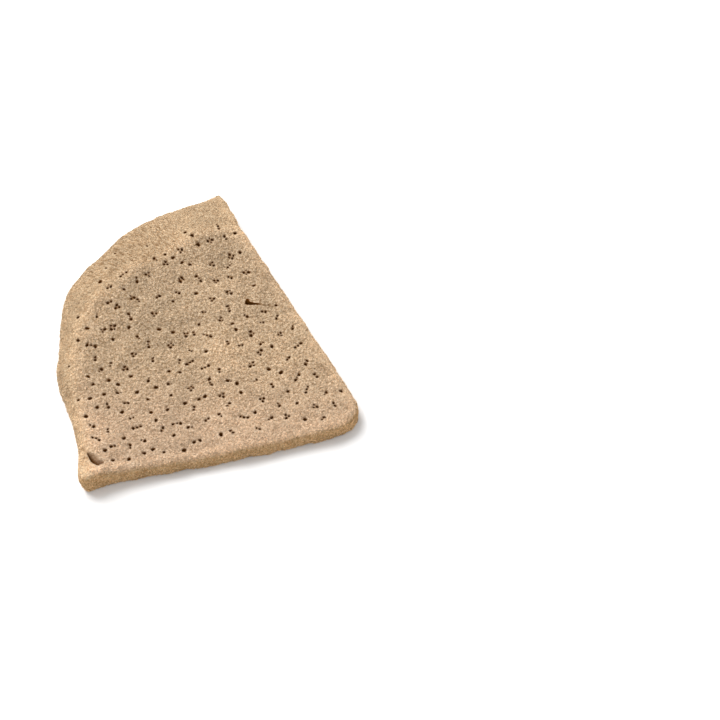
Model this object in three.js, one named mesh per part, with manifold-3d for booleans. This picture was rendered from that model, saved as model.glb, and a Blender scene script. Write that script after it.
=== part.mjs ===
import * as THREE from 'three';
import { LoftGeometry } from 'three/addons/geometries/LoftGeometry.js';
import { mergeVertices } from 'three/addons/utils/BufferGeometryUtils.js';
import Module from 'manifold-3d';

// A sea sponge: a thick wedge cut from a flat, fan-shaped sponge, lying on its underside.
// Millimetres, +Z up. The origin is under the middle of the sponge, on the surface it lies on.

// Driving dimensions
const WIDTH = 101.4;               // from the left rim to the blunt tip
const LENGTH = 121.4;              // from the front left corner to the back corner
const FACE_LEVEL = 7.3;            // height of the porous face at the middle
const FACE_TILT = 0.02;            // rise of the face for each millimetre towards the back
const CREST_FALL = 7;              // distance inside the crest over which the face mostly drops to its level
const CREST_ROUNDING = 1.5;        // how softly the crest turns over
const RELIEF = 0.14;               // height of each wave in the soft lumps all over the upper side
const NOSE_HEIGHT = 3.2;           // height of the rim's outermost line
const UNDERSIDE_LIFT = 1.6;        // how far the rim's underside curls up off the surface
const EDGE_ROUNDING = 1.9;         // rounding along the top of a cut side
const PORE_DEPTH = 2.4;            // depth of a pore cluster
const PORE_RADII = [0.65, 0.9, 1.15, 1.3];   // radius of a cluster of one, two, three and four openings

// The natural rim from the back corner round the left to the front left corner: x, y, height of its top
const RIM = [
  [-0.6, 60.5, 6.0],
  [-10.8, 56.4, 5.2],
  [-19.4, 53.0, 5.0],
  [-23.2, 50.6, 5.0],
  [-33.2, 42.8, 5.0],
  [-39.8, 33.6, 5.0],
  [-45.4, 26.0, 5.0],
  [-49.8, 16.4, 5.0],
  [-50.7, 4.9, 5.0],
  [-50.0, -7.8, 5.0],
  [-49.4, -19.6, 5.2],
  [-45.6, -29.6, 5.6],
  [-42.0, -38.9, 6.2],
  [-39.4, -49.0, 7.2],
  [-38.6, -57.0, 8.4],
];

// The crest between the rim's sloping band and the porous face, in the same direction
const CREST = [
  [14.0, 36.8, 9.0],
  [8.6, 39.6, 10.1],
  [1.9, 40.6, 10.5],
  [-7.5, 37.2, 10.5],
  [-18.6, 27.9, 10.5],
  [-29.8, 21.2, 10.5],
  [-39.2, 7.6, 10.3],
  [-43.0, -4.0, 9.8],
  [-43.0, -20.0, 9.0],
  [-39.4, -35.0, 8.7],
  [-36.0, -47.0, 8.8],
  [-33.0, -62.0, 9.0],
];

// The cut along the front, from the front left corner to the tip, and the cut up the right to the back corner
const FRONT_CUT = [[-34.6, -60.4], [-28.2, -57.9], [-13.2, -54.4], [13.0, -48.4], [38.0, -41.6]];
const RIGHT_CUT = [[47.6, -24.4], [32.4, 3.0], [20.6, 23.8], [8.6, 44.6], [3.0, 57.2]];

// Where the sides would meet if their corners were sharp
const FRONT_LEFT_CORNER = [-38.4, -62.0];
const TIP_CORNER = [56.6, -37.6];
const BACK_CORNER = [1.2, 61.9];

// Low swells and hollows of the face: x, y, radius, height
const SWELLS = [
  [4.5, -10.5, 8, 1.1],
  [-3.0, -52.0, 11, -0.7],
  [-38.0, -52.0, 4, 0.5],
  [28.0, -14.0, 9, 0.5],
  [-20.0, 0.0, 12, -0.5],
];

// The waves that add up to the lumps: direction in degrees, wavelength, phase
const WAVES = [
  [12, 23, 0.4],
  [71, 17, 2.1],
  [128, 13.5, 4.0],
  [160, 10.4, 1.3],
  [42, 9.1, 5.2],
  [97, 8.3, 3.3],
];

// How the photograph sees the sponge. The eye is in front and above, and its line of sight slopes down.
const EYE = new THREE.Vector3(51.4, -346.9, 466.0);
const SLOPE_OF_SIGHT = THREE.MathUtils.degToRad(54);
const PIXELS_TO_EYE = 1700;        // distance from the eye to the picture, in pixels
const PICTURE_MIDDLE = 360;        // pixel column and row that the line of sight goes through

// Pore clusters of the face as read in the photograph: pixel column, pixel row, number of openings
const SEEN_PORES = [
  [218, 226, 3], [220, 229, 1], [235, 233, 1], [192, 235, 1], [185, 232, 1], [225, 237, 2], [210, 240, 4],
  [198, 244, 1], [180, 250, 3], [240, 252, 1], [231, 256, 4], [165, 254, 1], [173, 257, 1], [155, 259, 2],
  [166, 263, 3], [190, 263, 2], [182, 262, 1], [212, 264, 3], [229, 266, 2], [246, 272, 4], [123, 274, 3],
  [148, 274, 3], [137, 279, 2], [181, 279, 4], [199, 278, 3], [216, 281, 3], [230, 277, 2], [100, 281, 1],
  [109, 286, 3], [254, 285, 1], [124, 289, 1], [229, 292, 4], [178, 292, 2], [196, 293, 1], [271, 290, 2],
  [158, 296, 2], [132, 297, 3], [138, 300, 2], [109, 301, 3], [212, 299, 3], [276, 305, 1], [173, 301, 1],
  [117, 306, 3], [229, 308, 3], [204, 312, 2], [264, 311, 2], [97, 315, 2], [78, 317, 1], [130, 316, 3],
  [154, 314, 3], [246, 315, 2], [277, 317, 2], [294, 316, 1], [221, 319, 3], [262, 322, 2], [199, 324, 1],
  [231, 324, 2], [236, 329, 1], [87, 328, 1], [113, 327, 4], [129, 327, 1], [103, 330, 3], [159, 329, 1],
  [293, 327, 2], [173, 332, 1], [186, 334, 3], [194, 333, 2], [207, 335, 3], [251, 333, 4], [280, 334, 3],
  [138, 337, 2], [113, 339, 1], [78, 340, 1], [148, 344, 3], [89, 345, 2], [95, 346, 1], [171, 345, 4],
  [228, 342, 2], [241, 345, 2], [262, 343, 2], [272, 346, 1], [191, 350, 2], [206, 351, 1], [261, 352, 4],
  [134, 354, 3], [95, 358, 2], [153, 359, 2], [179, 361, 2], [190, 362, 3], [110, 364, 2], [252, 364, 4],
  [125, 368, 3], [100, 370, 2], [205, 367, 3], [219, 370, 2], [269, 369, 1], [169, 371, 1], [180, 372, 1],
  [88, 376, 1], [131, 376, 1], [148, 379, 3], [109, 380, 1], [210, 382, 3], [229, 381, 2], [237, 383, 1],
  [255, 380, 2], [93, 384, 1], [118, 384, 1], [170, 384, 2], [156, 387, 1], [191, 388, 4], [104, 394, 1],
  [119, 393, 2], [137, 392, 1], [241, 392, 1], [171, 395, 1], [222, 395, 3], [205, 396, 1], [90, 398, 1],
  [78, 401, 2], [148, 399, 1], [199, 399, 1], [108, 405, 2], [126, 403, 2], [185, 403, 1], [97, 407, 1],
  [228, 404, 2], [167, 408, 2], [194, 408, 2], [122, 412, 1], [151, 412, 1], [220, 415, 2], [86, 416, 1],
  [132, 418, 2], [156, 420, 1], [207, 419, 2], [244, 417, 3], [92, 425, 2], [177, 423, 3], [190, 427, 2],
  [137, 427, 3], [108, 430, 2], [162, 429, 2], [232, 431, 2], [174, 435, 1], [221, 434, 1], [96, 438, 3],
  [124, 438, 1], [143, 440, 2], [194, 442, 1], [200, 440, 1], [84, 443, 1], [224, 445, 1], [241, 444, 1],
  [113, 446, 2], [130, 446, 2], [105, 450, 1], [153, 449, 1], [164, 452, 1], [184, 450, 1], [193, 452, 1],
  [144, 453, 1], [113, 460, 1], [129, 459, 1], [150, 460, 1], [133, 466, 1],
];

// Short dashes on the rim's band, and pores of the part that the photograph doesn't show, in the same form
const BAND_PORES = [
  [106, 268, 1], [132, 260, 1], [123, 255, 1], [115, 253, 1], [147, 246, 1], [88, 287, 1], [79, 303, 1],
  [90, 293, 1], [69, 366, 1],
];
const UNSEEN_PORES = [
  [305, 331, 2], [298, 345, 3], [315, 347, 1], [288, 358, 2], [306, 362, 4], [324, 360, 2], [281, 372, 1],
  [297, 377, 3], [316, 375, 2], [333, 378, 1], [272, 385, 2], [288, 391, 1], [307, 389, 3], [325, 393, 2],
  [341, 391, 1], [262, 399, 3], [279, 404, 2], [297, 403, 1], [315, 406, 3], [334, 404, 2], [255, 412, 1],
  [270, 418, 2], [287, 416, 3], [305, 419, 1], [323, 418, 2], [258, 428, 2], [276, 431, 1], [295, 430, 1],
];

// Two gashes, also as pixels: the steep lip and the opposite lip that slopes down to it, from left to right
const TEAR = {
  steep: [
    [86.4, 453], [87.4, 455], [88.8, 458], [90.6, 461.2],
    [94, 464.2], [97.6, 465.6], [101.2, 464.4], [104.4, 462],
  ],
  sloping: [
    [86.4, 452], [89.4, 451.6], [92.6, 452.8], [95.6, 454.6],
    [98.2, 456.8], [100.6, 459], [102.6, 460.4], [104.6, 461.4],
  ],
  depth: 3.8,
};
const SLIT = {
  steep: [
    [244.6, 303.4], [246.2, 304.2], [248, 304.6], [250, 304.8],
    [253, 304.7], [257, 304.4], [260.5, 304],
  ],
  sloping: [
    [244.6, 302.8], [245.8, 301.4], [246.4, 299.4], [248.2, 299.4],
    [249.2, 301.6], [254, 303], [260.5, 303.5],
  ],
  depth: 3,
};

// Faceting
const STEPS_AROUND = 92;
const GRID_STEP = 2.9;
const MARGIN = 4;                  // how far the cutting blocks reach past the sponge
const MOUTH_RISE = 1;              // how far a pit's cutting shape stands out of the face
const PIT_SIDES = 5;
const GOLDEN_ANGLE = 2.4;          // turn from one pore to the next, so that no two neighbours lie alike

const manifold = await Module();
manifold.setup();

const { clamp, degToRad, lerp, smoothstep } = THREE.MathUtils;

// A line in space through the listed points, as evenly spaced steps
function lineThrough(points, steps) {
  const curve = new THREE.CatmullRomCurve3(points.map((point) => new THREE.Vector3(...point)));
  return curve.getSpacedPoints(steps);
}

// The nearest place on such a line, seen from above: how far, how high, and on which side of it (x, y) is
function nearestOn(line, x, y) {
  let best = { distance: Infinity };
  for (let i = 1; i < line.length; i++) {
    const a = line[i - 1];
    const b = line[i];
    const dx = b.x - a.x;
    const dy = b.y - a.y;
    const along = clamp(((x - a.x) * dx + (y - a.y) * dy) / (dx * dx + dy * dy), 0, 1);
    const distance = Math.hypot(x - a.x - along * dx, y - a.y - along * dy);
    if (distance < best.distance) {
      const side = dx * (y - a.y) - dy * (x - a.x);
      best = { distance, height: lerp(a.z, b.z, along), side };
    }
  }
  return best;
}

const rimLine = lineThrough(RIM, 90);
const crestLine = lineThrough(CREST, 60);

function swell(x, y, [middleX, middleY, radius, height]) {
  return height * Math.exp(-((x - middleX) ** 2 + (y - middleY) ** 2) / radius ** 2);
}

// One wave of the lumps
function wave(x, y, [direction, length, phase]) {
  const turn = degToRad(direction);
  const along = x * Math.cos(turn) + y * Math.sin(turn);
  return RELIEF * Math.sin((2 * Math.PI * along) / length + phase);
}

// Soft irregular lumps several millimetres across
function lumps(x, y) {
  return WAVES.reduce((sum, form) => sum + wave(x, y, form), 0);
}

// Height of the upper side at a point of the plan
function upperHeight(x, y) {
  const rim = nearestOn(rimLine, x, y);
  const crest = nearestOn(crestLine, x, y);
  if (crest.side < 0) {
    const up = rim.distance / (rim.distance + crest.distance);
    return lerp(rim.height, crest.height, up * (1.7 - 0.7 * up)) + lumps(x, y);
  }
  const level = SWELLS.reduce((sum, form) => sum + swell(x, y, form), FACE_LEVEL + FACE_TILT * y);
  const inside = Math.hypot(crest.distance, CREST_ROUNDING) - CREST_ROUNDING;
  return lerp(level, crest.height, Math.exp(-inside / CREST_FALL)) + lumps(x, y);
}

// The outline seen from above, anticlockwise, as evenly spaced points
function outlinePoints() {
  const flat = (points) => points.map(([x, y]) => new THREE.Vector2(x, y));
  const outline = new THREE.Path();
  outline.moveTo(RIM[0][0], RIM[0][1]);
  outline.splineThru(flat(RIM.slice(1)));
  outline.quadraticCurveTo(...FRONT_LEFT_CORNER, ...FRONT_CUT[0]);
  outline.splineThru(flat(FRONT_CUT.slice(1)));
  outline.quadraticCurveTo(...TIP_CORNER, ...RIGHT_CUT[0]);
  outline.splineThru(flat(RIGHT_CUT.slice(1)));
  outline.quadraticCurveTo(...BACK_CORNER, RIM[0][0], RIM[0][1]);
  return outline.getSpacedPoints(STEPS_AROUND).slice(1);
}

// The side of the sponge at one outline point, from the underside up: distance in from the outline, height.
// The natural rim is a blunt nose with its underside off the ground. A cut is a plain wall with a round top.
function sideProfile(cut, top) {
  const natural = [
    [12, 0],
    [6, 0.35 * UNDERSIDE_LIFT],
    [1.6, UNDERSIDE_LIFT],
    [0, NOSE_HEIGHT],
    [0.5, lerp(NOSE_HEIGHT, top, 0.7)],
    [1.4, top + 0.2],
    [3, top + MARGIN],
  ];
  const wall = [
    [3, 0],
    [0.3, 0],
    [0, 0.3 * top],
    [0.1, top - EDGE_ROUNDING],
    [0.4 * EDGE_ROUNDING, top - 0.35 * EDGE_ROUNDING],
    [1.1 * EDGE_ROUNDING, top],
    [3, top + 0.5 * MARGIN],
  ];
  return natural.map(([inset, height], i) => [lerp(inset, wall[i][0], cut), lerp(height, wall[i][1], cut)]);
}

// The underside and the sides, open upwards past the face
function sides() {
  const middle = new THREE.Vector2(0, 0);
  const columns = outlinePoints().map((point) => {
    const inward = middle.clone().sub(point).normalize();
    const cut = smoothstep(nearestOn(rimLine, point.x, point.y).distance, 0.5, 5);
    const top = upperHeight(point.x, point.y);
    return sideProfile(cut, top).map(([inset, height]) => {
      const place = point.clone().addScaledVector(inward, inset);
      return new THREE.Vector3(place.x, place.y, height);
    });
  });
  const rings = columns[0].map((_, row) => columns.map((column) => column[row]));
  const ceiling = columns.map((column) => column.at(-1).clone().setZ(3 * MARGIN + FACE_LEVEL));
  return new LoftGeometry([...rings, ceiling], { capStart: true, capEnd: true });
}

// A block under the upper side
function underFace() {
  const width = WIDTH + 2 * MARGIN;
  const length = LENGTH + 2 * MARGIN;
  const columns = Math.round(width / GRID_STEP);
  const rows = Math.round(length / GRID_STEP);
  const block = new THREE.BoxGeometry(width, length, 2 * MARGIN, columns, rows, 1);
  const position = block.attributes.position;
  for (let i = 0; i < position.count; i++) {
    if (position.getZ(i) > 0) position.setZ(i, upperHeight(position.getX(i), position.getY(i)));
  }
  return block;
}

// The place on the upper side that shows at a pixel of the photograph
function placeAtPixel([column, row]) {
  const across = (column - PICTURE_MIDDLE) / PIXELS_TO_EYE;
  const up = (PICTURE_MIDDLE - row) / PIXELS_TO_EYE;
  const sight = new THREE.Vector3(across, 1, up);
  sight.applyAxisAngle(new THREE.Vector3(1, 0, 0), -SLOPE_OF_SIGHT);
  const place = new THREE.Vector3(0, 0, FACE_LEVEL);
  for (let pass = 0; pass < 4; pass++) {
    place.addVectors(EYE, sight.clone().multiplyScalar((place.z - EYE.z) / sight.z));
    place.z = upperHeight(place.x, place.y);
  }
  return place;
}

// A pit that narrows to a point, its mouth an oval of the given half width where it meets the face
function pit(place, radius, depth, stretch, turn) {
  const height = depth + MOUTH_RISE;
  const cone = new THREE.ConeGeometry(radius * height / depth, height, PIT_SIDES);
  cone.rotateX(-Math.PI / 2);
  cone.scale(stretch, 1 / stretch, 1);
  cone.rotateZ(turn);
  cone.translate(place.x, place.y, place.z - depth + height / 2);
  return cone;
}

// A cluster of openings: one pit, longer for two openings, with a small pit beside it for three or four
function poreCluster(pore, index) {
  const openings = pore[2];
  const place = placeAtPixel(pore);
  const turn = index * GOLDEN_ANGLE;
  const radius = PORE_RADII[openings - 1];
  const pits = [pit(place, radius, PORE_DEPTH, openings === 1 ? 1 : 1.25, turn)];
  if (openings > 2) {
    const beside = new THREE.Vector3(Math.sin(turn), -Math.cos(turn), 0).multiplyScalar(radius);
    pits.push(pit(place.clone().add(beside), PORE_RADII[0], 0.7 * PORE_DEPTH, 1, turn));
  }
  return pits;
}

// A gash between two lips, deepest under the steep one
function gash({ steep, sloping, depth }) {
  const steepLip = steep.map(placeAtPixel);
  const slopingLip = sloping.map(placeAtPixel);
  const down = (place, i) => {
    const share = Math.sin((Math.PI * (i + 1)) / (steep.length + 1));
    return place.clone().setZ(place.z - share * depth);
  };
  const up = (place) => place.clone().setZ(place.z + MOUTH_RISE);
  const bottom = [
    ...steepLip.map(down),
    ...slopingLip.map((place, i) => down(steepLip[i].clone().lerp(place, 0.3), i)).reverse(),
  ];
  const top = [...steepLip.map(up), ...slopingLip.map(up).reverse()];
  return new LoftGeometry([bottom, top], { capStart: true, capEnd: true });
}

function toManifold(geometry) {
  geometry.deleteAttribute('normal');
  geometry.deleteAttribute('uv');
  const merged = mergeVertices(geometry);
  return new manifold.Manifold(new manifold.Mesh({
    numProp: 3,
    vertProperties: new Float32Array(merged.attributes.position.array),
    triVerts: new Uint32Array(merged.index.array),
  }));
}

function toGeometry(solid) {
  const mesh = solid.getMesh();
  const geometry = new THREE.BufferGeometry();
  geometry.setAttribute('position', new THREE.BufferAttribute(mesh.vertProperties, 3));
  geometry.setIndex(new THREE.BufferAttribute(mesh.triVerts, 1));
  geometry.computeVertexNormals();
  return geometry;
}

const pores = [...SEEN_PORES, ...BAND_PORES, ...UNSEEN_PORES];
const hollows = [...pores.flatMap(poreCluster), gash(TEAR), gash(SLIT)];
const block = toManifold(sides()).intersect(toManifold(underFace()));
const body = hollows.reduce((solid, hollow) => solid.subtract(toManifold(hollow)), block);

const sponge = new THREE.Mesh(
  toGeometry(body),
  new THREE.MeshStandardMaterial({ color: 0xc4a27c, roughness: 0.95, metalness: 0 }),
);
sponge.name = 'sponge';

const part = new THREE.Group();
part.add(sponge);
export default part;
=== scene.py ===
import math
import random

import bpy
import numpy as np
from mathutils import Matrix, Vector, noise
from mathutils.geometry import delaunay_2d_cdt
from mathutils.kdtree import KDTree


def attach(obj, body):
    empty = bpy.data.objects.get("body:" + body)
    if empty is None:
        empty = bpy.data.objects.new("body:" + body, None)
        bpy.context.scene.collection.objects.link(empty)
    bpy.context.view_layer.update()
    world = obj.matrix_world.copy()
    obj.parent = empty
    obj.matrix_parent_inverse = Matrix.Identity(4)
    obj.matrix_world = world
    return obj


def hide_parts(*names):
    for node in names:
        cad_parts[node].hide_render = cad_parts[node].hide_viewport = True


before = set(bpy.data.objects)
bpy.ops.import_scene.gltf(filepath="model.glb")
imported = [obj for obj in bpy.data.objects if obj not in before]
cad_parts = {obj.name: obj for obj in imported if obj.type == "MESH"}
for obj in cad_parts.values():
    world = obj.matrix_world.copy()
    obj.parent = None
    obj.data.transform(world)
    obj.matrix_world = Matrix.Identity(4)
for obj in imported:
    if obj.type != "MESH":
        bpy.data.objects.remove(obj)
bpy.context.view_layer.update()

# Lengths are millimetres up to the point where a mesh, lamp or camera is made in metres
METRES = 0.001

# The sponge's measurements, as in the frame
FACE_LEVEL = 7.3       # height of the porous face at the middle
FACE_TILT = 0.02       # rise of the face for each millimetre towards the back
CREST_FALL = 7         # distance inside the crest over which the face mostly drops to its level
CREST_ROUNDING = 1.5   # how softly the crest turns over
BAND_BULGE = 0.7       # how full the rim's band is: 0 is a straight slope
RELIEF = 0.14          # height of each wave in the soft lumps all over the upper side
NOSE_HEIGHT = 3.2      # height of the rim's outermost line
UNDERSIDE_LIFT = 1.6   # how far the rim's underside curls up
EDGE_ROUNDING = 1.9    # rounding along the top of a cut side
CUT_FADE = 2.2         # the cut side's colour fades out over this height
CUT_BEGINS = (0.5, 5)  # distances from the rim's ends where a side starts to be cut, and wholly is
SIDE_REACH = 3         # how far in from the outline the sides reach on the upper side

# The natural rim from the back corner round the left to the front left corner: x, y, height of its top edge
RIM = [
    (-0.6, 60.5, 6.0),
    (-10.8, 56.4, 5.2),
    (-19.4, 53.0, 5.0),
    (-23.2, 50.6, 5.0),
    (-33.2, 42.8, 5.0),
    (-39.8, 33.6, 5.0),
    (-45.4, 26.0, 5.0),
    (-49.8, 16.4, 5.0),
    (-50.7, 4.9, 5.0),
    (-50.0, -7.8, 5.0),
    (-49.4, -19.6, 5.2),
    (-45.6, -29.6, 5.6),
    (-42.0, -38.9, 6.2),
    (-39.4, -49.0, 7.2),
    (-38.6, -57.0, 8.4),
]

# The crest between the rim's sloping band and the porous face, in the same direction
CREST = [
    (14.0, 36.8, 9.0),
    (8.6, 39.6, 10.1),
    (1.9, 40.6, 10.5),
    (-7.5, 37.2, 10.5),
    (-18.6, 27.9, 10.5),
    (-29.8, 21.2, 10.5),
    (-39.2, 7.6, 10.3),
    (-43.0, -4.0, 9.8),
    (-43.0, -20.0, 9.0),
    (-39.4, -35.0, 8.7),
    (-36.0, -47.0, 8.8),
    (-33.0, -62.0, 9.0),
]

# The two cuts, and where the sides would meet if their corners were sharp
FRONT_CUT = [(-34.6, -60.4), (-28.2, -57.9), (-13.2, -54.4), (13.0, -48.4), (38.0, -41.6)]
RIGHT_CUT = [(47.6, -24.4), (32.4, 3.0), (20.6, 23.8), (8.6, 44.6), (3.0, 57.2)]
FRONT_LEFT_CORNER = (-38.4, -62.0)
TIP_CORNER = (56.6, -37.6)
BACK_CORNER = (1.2, 61.9)

# Low swells and hollows of the face: x, y, radius, height
SWELLS = [
    (4.5, -10.5, 8, 1.1),
    (-3.0, -52.0, 11, -0.7),
    (-38.0, -52.0, 4, 0.5),
    (28.0, -14.0, 9, 0.5),
    (-20.0, 0.0, 12, -0.5),
]

# The waves that add up to the lumps: direction in degrees, wavelength, phase
WAVES = [
    (12, 23, 0.4),
    (71, 17, 2.1),
    (128, 13.5, 4.0),
    (160, 10.4, 1.3),
    (42, 9.1, 5.2),
    (97, 8.3, 3.3),
]

# How the photograph sees the sponge
EYE = np.array([51.4, -346.9, 466.0])
SLOPE_OF_SIGHT = math.radians(54)
LENS = 85
PIXELS_TO_EYE = 1700  # distance from the eye to the picture, in pixels
PICTURE_MIDDLE = 360  # pixel column and row that the line of sight goes through

# Pore clusters of the face as read in the photograph: pixel column, pixel row, number of openings
SEEN_PORES = [
    (218, 226, 3), (220, 229, 1), (235, 233, 1), (192, 235, 1), (185, 232, 1), (225, 237, 2), (210, 240, 4),
    (198, 244, 1), (180, 250, 3), (240, 252, 1), (231, 256, 4), (165, 254, 1), (173, 257, 1), (155, 259, 2),
    (166, 263, 3), (190, 263, 2), (182, 262, 1), (212, 264, 3), (229, 266, 2), (246, 272, 4), (123, 274, 3),
    (148, 274, 3), (137, 279, 2), (181, 279, 4), (199, 278, 3), (216, 281, 3), (230, 277, 2), (100, 281, 1),
    (109, 286, 3), (254, 285, 1), (124, 289, 1), (229, 292, 4), (178, 292, 2), (196, 293, 1), (271, 290, 2),
    (158, 296, 2), (132, 297, 3), (138, 300, 2), (109, 301, 3), (212, 299, 3), (276, 305, 1), (173, 301, 1),
    (117, 306, 3), (229, 308, 3), (204, 312, 2), (264, 311, 2), (97, 315, 2), (78, 317, 1), (130, 316, 3),
    (154, 314, 3), (246, 315, 2), (277, 317, 2), (294, 316, 1), (221, 319, 3), (262, 322, 2), (199, 324, 1),
    (231, 324, 2), (236, 329, 1), (87, 328, 1), (113, 327, 4), (129, 327, 1), (103, 330, 3), (159, 329, 1),
    (293, 327, 2), (173, 332, 1), (186, 334, 3), (194, 333, 2), (207, 335, 3), (251, 333, 4), (280, 334, 3),
    (138, 337, 2), (113, 339, 1), (78, 340, 1), (148, 344, 3), (89, 345, 2), (95, 346, 1), (171, 345, 4),
    (228, 342, 2), (241, 345, 2), (262, 343, 2), (272, 346, 1), (191, 350, 2), (206, 351, 1), (261, 352, 4),
    (134, 354, 3), (95, 358, 2), (153, 359, 2), (179, 361, 2), (190, 362, 3), (110, 364, 2), (252, 364, 4),
    (125, 368, 3), (100, 370, 2), (205, 367, 3), (219, 370, 2), (269, 369, 1), (169, 371, 1), (180, 372, 1),
    (88, 376, 1), (131, 376, 1), (148, 379, 3), (109, 380, 1), (210, 382, 3), (229, 381, 2), (237, 383, 1),
    (255, 380, 2), (93, 384, 1), (118, 384, 1), (170, 384, 2), (156, 387, 1), (191, 388, 4), (104, 394, 1),
    (119, 393, 2), (137, 392, 1), (241, 392, 1), (171, 395, 1), (222, 395, 3), (205, 396, 1), (90, 398, 1),
    (78, 401, 2), (148, 399, 1), (199, 399, 1), (108, 405, 2), (126, 403, 2), (185, 403, 1), (97, 407, 1),
    (228, 404, 2), (167, 408, 2), (194, 408, 2), (122, 412, 1), (151, 412, 1), (220, 415, 2), (86, 416, 1),
    (132, 418, 2), (156, 420, 1), (207, 419, 2), (244, 417, 3), (92, 425, 2), (177, 423, 3), (190, 427, 2),
    (137, 427, 3), (108, 430, 2), (162, 429, 2), (232, 431, 2), (174, 435, 1), (221, 434, 1), (96, 438, 3),
    (124, 438, 1), (143, 440, 2), (194, 442, 1), (200, 440, 1), (84, 443, 1), (224, 445, 1), (241, 444, 1),
    (113, 446, 2), (130, 446, 2), (105, 450, 1), (153, 449, 1), (164, 452, 1), (184, 450, 1), (193, 452, 1),
    (144, 453, 1), (113, 460, 1), (129, 459, 1), (150, 460, 1), (133, 466, 1),
]

# Short dashes on the rim's band, and pores of the part that the photograph doesn't show, in the same form
BAND_PORES = [
    (106, 268, 1), (132, 260, 1), (123, 255, 1), (115, 253, 1), (147, 246, 1), (88, 287, 1), (79, 303, 1),
    (90, 293, 1), (69, 366, 1),
]
UNSEEN_PORES = [
    (305, 331, 2), (298, 345, 3), (315, 347, 1), (288, 358, 2), (306, 362, 4), (324, 360, 2), (281, 372, 1),
    (297, 377, 3), (316, 375, 2), (333, 378, 1), (272, 385, 2), (288, 391, 1), (307, 389, 3), (325, 393, 2),
    (341, 391, 1), (262, 399, 3), (279, 404, 2), (297, 403, 1), (315, 406, 3), (334, 404, 2), (255, 412, 1),
    (270, 418, 2), (287, 416, 3), (305, 419, 1), (323, 418, 2), (258, 428, 2), (276, 431, 1), (295, 430, 1),
]

# Two gashes, also as pixels: both lips from one end to the other, first the steep one; then the depth, and
# the painted shade at the lips and at the floor
TEAR = {
    "steep": [
        (86.4, 453), (87.4, 455), (88.8, 458), (90.6, 461.2),
        (94, 464.2), (97.6, 465.6), (101.2, 464.4), (104.4, 462),
    ],
    "sloping": [
        (86.4, 452), (89.4, 451.6), (92.6, 452.8), (95.6, 454.6),
        (98.2, 456.8), (100.6, 459), (102.6, 460.4), (104.6, 461.4),
    ],
    "depth": 3.8,
    "painted_shade": (0.35, 1.5),
}
SLIT = {
    "steep": [
        (244.6, 303.4), (246.2, 304.2), (248, 304.6), (250, 304.8),
        (253, 304.7), (257, 304.4), (260.5, 304),
    ],
    "sloping": [
        (244.6, 302.8), (245.8, 301.4), (246.4, 299.4), (248.2, 299.4),
        (249.2, 301.6), (254, 303), (260.5, 303.5),
    ],
    "depth": 3,
    "painted_shade": (1.5, 2.0),
}

# Faint creases that run on from the gashes, as pixels: shallow grooves, darkened with painted shade
CREASES = [
    [(80.5, 447), (83, 449.4), (86.4, 452.4)],
    [(84, 458.4), (86, 457.4), (88.4, 457.6)],
    [(260, 303.8), (263, 304.6), (266, 305), (270, 305.4), (274, 306.6)],
    [(260.6, 300), (260.4, 302.6)],
]
CREASE_DEPTH = 0.35
CREASE_WIDTH = 0.35
DEEPEST_FOR_WIDTH = 1.9  # a narrow stretch of a gash is no deeper than this times its width
GASH_ENDS = 0.3          # how suddenly a gash ends: 1 is slowly, 0 at once

# Across a gash, from the sloping lip to the steep one: how deep and how far over its wall is
GASH_DOWN = ((0, 0.35, 0.75, 0.9, 1), (0, 0.35, 1, 0.75, 0))
GASH_OVER = ((0, 0.75, 0.9, 1), (0, 0.97, 1.04, 1))

# Openings of a pore cluster
LONE_RADIUS = (0.56, 0.77)    # least and most for an opening by itself
SHARED_RADIUS = (0.46, 0.63)  # and in a cluster
DASH_RADIUS = 0.34            # of a pore on the rim's band
SPACING = 1.2                 # distance between neighbouring openings
SPACING_VARIES = (0.85, 1.1)  # between these shares of it
ROW_CHANCE = 0.4              # that three openings lie in a row, and not in a ring
ROW_BEND = 0.35               # of such a row, in radians
TURN_VARIES = 0.2             # most that an opening's direction is off, in radians
LEAST_RADIUS = 0.25
OVAL = 1.18                   # longest reach of an opening as a share of its radius
TWO_SIDED = 0.65              # share of that stretch that is oval, the rest being three-cornered
WALL_BETWEEN = 0.05           # least that is left standing between two openings
CLEAR_OF_EDGES = 0.4          # an opening nearer than this to an edge or a gash is left out
OPENING_POINTS = 10
OPENING_DEPTH = 1.9
MOUTH_PAINTED_SHADE = 0.55         # painted shade of an opening's lip, where 1 is the dark colour painted inside as shade
DIMPLE_DEPTH = 0.22           # the face sinks a little around a cluster
DIMPLE_RADIUS = 1.5

# Rings down the wall of an opening: share of its radius, depth
OPENING_WALL = ((0.86, 0.35), (0.62, 1.1))

# Unevenness of the skin: wavelength, and its height on the face, on the rim and on the cut sides
RUFFLES = [
    (6.0, 0.12, 0.24, 0.45),
    (2.4, 0.1, 0.16, 0.3),
    (0.9, 0.32, 0.26, 0.28),
]
SMOOTHER_WHERE_SOFT = 0.4  # share of the unevenness that is worn off along the cuts
CUT_LIP = 0.2              # the face stands up a little along the cuts

# The felt of short strands
STRAND_LENGTH = 1.0
STRAND_THICKNESS = 0.12
STRAND_ARCH = 0.2       # height of a strand's bend as a share of its length
STRAND_BEND = 0.18      # and how far it bends sideways
STRAND_SINKING = 0.6    # how deep its ends are in the skin, as a share of its thickness
ROLL = 0.9              # most that a strand leans to a side, in radians
PITCH = 0.4             # and towards an end
LENGTH_VARIES = (0.6, 1.35)
WIDTH_VARIES = (0.6, 1.4)
HEIGHT_VARIES = (0.6, 1.3)
SHORTER_AT_LIPS = 0.6
ORDER_ON_RIM = 0.75     # how much of the rim's felt is combed, and of that at the lips
ORDER_AT_LIPS = 0.9
TUFT_SIZE = 0.68        # distance between tufts
TUFT_EDGE = (0.3, 0.7)  # where a tuft thins out, in tufts from its middle
KEPT_BETWEEN_TUFTS = 0.3
KEPT_SHARE = 0.62       # share of the scattered strands that is kept in all

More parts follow.
